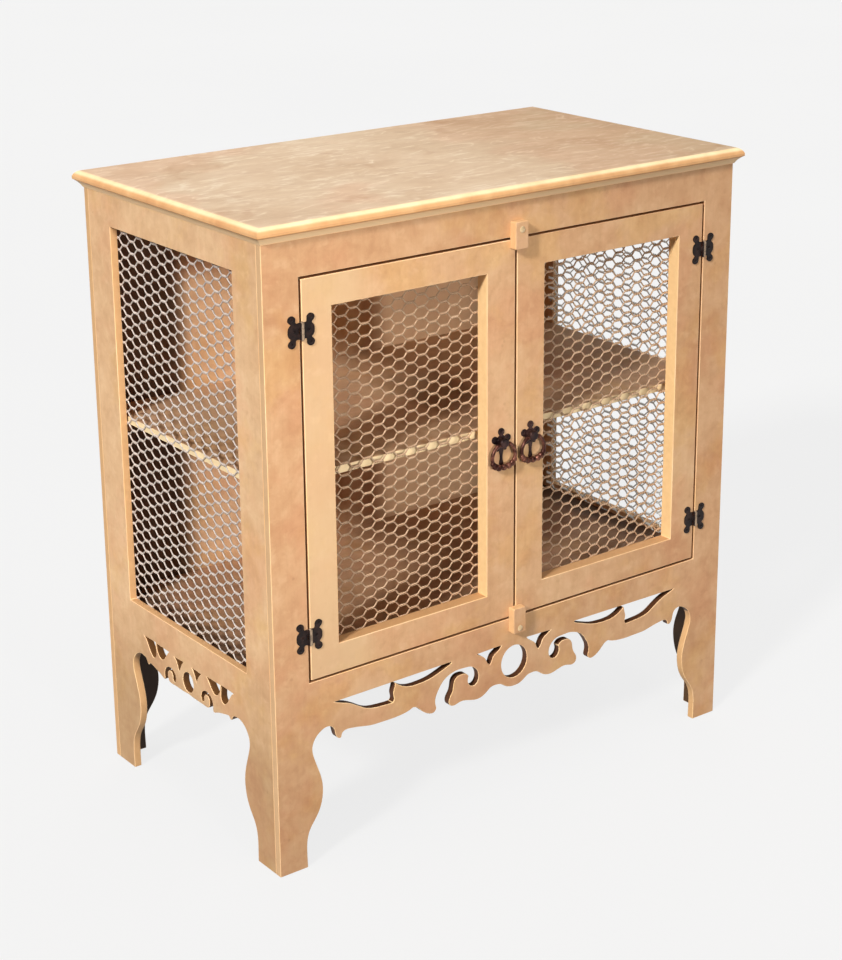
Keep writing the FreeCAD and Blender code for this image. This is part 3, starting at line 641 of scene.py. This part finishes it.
netting("left_door_wire", "left_door", "left_door_netting", 82.0, 314.0, 265.0, 681.0,
        130.8, 645.8, door_map(-1), 0.0, 15.9, 14.4)
netting("right_door_wire", "right_door", "right_door_netting", 82.0, 314.0, 265.0, 681.0,
        124.0, 641.0, door_map(1), 1.0, 15.9, 14.4)
netting("left_side_wire", "cabinet", "left_side_netting", 52.0, 338.0, 231.5, 722.5,
        195.0, 469.2, side_map(-1), 2.0, 17.2, 14.5)
netting("right_side_wire", "cabinet", "right_side_netting", 52.0, 338.0, 231.5, 722.5,
        195.0, 469.2, side_map(1), 3.0, 17.2, 14.5)


# ============================================================ floor, light, camera
def floor():
    g = Graph("studio_floor")
    c = g.noise(g.place(), 0.8, 2.0)
    g.link(g.ramp(c, [(0.3, (0.085, 0.085, 0.085, 1)), (0.7, (0.092, 0.092, 0.092, 1))]), g.bsdf.inputs["Base Color"])
    g.bsdf.inputs["Roughness"].default_value = 0.9
    g.bsdf.inputs["Specular IOR Level"].default_value = 0.0
    g.bsdf.inputs["Emission Color"].default_value = (1, 1, 1, 1)
    g.bsdf.inputs["Emission Strength"].default_value = 0.808
    me = bpy.data.meshes.new("studio_floor")
    bm = bmesh.new()
    n = 96
    ring = [bm.verts.new((45 * math.cos(2 * math.pi * i / n), 45 * math.sin(2 * math.pi * i / n), -0.0002)) for i in range(n)]
    bm.faces.new(ring)
    bm.to_mesh(me)
    bm.free()
    o = bpy.data.objects.new("studio_floor", me)
    scene.collection.objects.link(o)
    me.materials.append(g.mat)
    o.visible_diffuse = False


def backdrop():
    """A pale dome far round the floor, seen only by the camera."""
    g = Graph("studio_backdrop")
    g.bsdf.inputs["Base Color"].default_value = (0.02, 0.02, 0.02, 1)
    g.bsdf.inputs["Roughness"].default_value = 1.0
    g.bsdf.inputs["Specular IOR Level"].default_value = 0.0
    g.bsdf.inputs["Emission Color"].default_value = (1, 1, 1, 1)
    g.bsdf.inputs["Emission Strength"].default_value = 0.90
    me = bpy.data.meshes.new("studio_backdrop")
    bm = bmesh.new()
    n, rows, r = 96, 24, 44.5
    rings = []
    for k in range(rows):
        a = math.pi / 2 * k / rows
        rings.append([bm.verts.new((r * math.cos(a) * math.cos(2 * math.pi * i / n),
                                    r * math.cos(a) * math.sin(2 * math.pi * i / n), r * math.sin(a))) for i in range(n)])
    top = bm.verts.new((0, 0, r))
    for lo, hi in zip(rings, rings[1:]):
        for i in range(n):
            bm.faces.new((lo[i], hi[i], hi[(i + 1) % n], lo[(i + 1) % n]))
    for i in range(n):
        bm.faces.new((rings[-1][i], top, rings[-1][(i + 1) % n]))
    bm.to_mesh(me)
    bm.free()
    for p in me.polygons:
        p.use_smooth = True
    o = bpy.data.objects.new("studio_backdrop", me)
    scene.collection.objects.link(o)
    me.materials.append(g.mat)
    o.visible_diffuse = False
    o.visible_glossy = False
    o.visible_transmission = False
    o.visible_shadow = False


floor()
backdrop()
world = bpy.data.worlds.new("studio")
world.use_nodes = True
bg = world.node_tree.nodes["Background"]
bg.inputs[0].default_value = (0.97, 0.98, 1.0, 1)
bg.inputs[1].default_value = 0.11
scene.world = world
scene.view_settings.view_transform = "Standard"
scene.view_settings.look = "None"
scene.view_settings.exposure = 0.0
scene.view_settings.gamma = 1.0


def sun(name, direction, strength, angle, color, glossy=True):
    d = bpy.data.lights.new(name, "SUN")
    d.energy = strength
    d.angle = math.radians(angle)
    d.color = color
    o = bpy.data.objects.new(name, d)
    o.rotation_euler = Vector(direction).to_track_quat("-Z", "Y").to_euler()
    o.visible_glossy = glossy
    scene.collection.objects.link(o)


def spot(name, place, target, watts, cone, radius, color):
    d = bpy.data.lights.new(name, "SPOT")
    d.energy = watts
    d.spot_size = math.radians(cone)
    d.spot_blend = 1.0
    d.shadow_soft_size = radius
    d.color = color
    o = bpy.data.objects.new(name, d)
    o.location = place
    o.rotation_euler = (Vector(target) - Vector(place)).to_track_quat("-Z", "Y").to_euler()
    o.visible_glossy = False
    scene.collection.objects.link(o)


sun("side_light", (0.796, 0.318, -0.514), 3.2, 8, (1.0, 0.98, 0.94))
sun("front_light", (0.36, 4.25, -0.52), 1.12, 5, (1.0, 0.98, 0.95), False)
spot("front_spot", (-0.50, -4.25, 1.10), (-0.37, -0.2, 0.60), 290, 14.5, 0.2, (1.0, 0.97, 0.92))
sun("top_light", (0.05, 0.12, -1.0), 1.06, 70, (1.0, 0.99, 0.97))
sun("rear_fill", (-0.60, -0.78, -0.10), 1.5, 40, (1.0, 0.99, 0.97), False)


def camera():
    f, az, el, roll = 2043.5, math.radians(-36.83), math.radians(17.31), math.radians(-0.53)
    pos = Vector(M(-1122.4, -1779.2, 1253.1))
    fwd = Vector((-math.sin(az) * math.cos(el), math.cos(az) * math.cos(el), -math.sin(el)))
    right = Vector((math.cos(az), math.sin(az), 0))
    up = right.cross(fwd)
    r2 = right * math.cos(roll) + up * math.sin(roll)
    u2 = -right * math.sin(roll) + up * math.cos(roll)
    cam = bpy.data.cameras.new("camera")
    cam.sensor_fit = "VERTICAL"
    cam.sensor_height = 36.0
    cam.sensor_width = 36.0
    cam.lens = f / 960.0 * 36.0
    cam.shift_y = -0.1
    cam.clip_start, cam.clip_end = 0.05, 200
    o = bpy.data.objects.new("camera", cam)
    m = Matrix.Identity(4)
    for i in range(3):
        m[i][0], m[i][1], m[i][2], m[i][3] = r2[i], u2[i], -fwd[i], pos[i]
    o.matrix_world = m
    scene.collection.objects.link(o)
    scene.camera = o


camera()
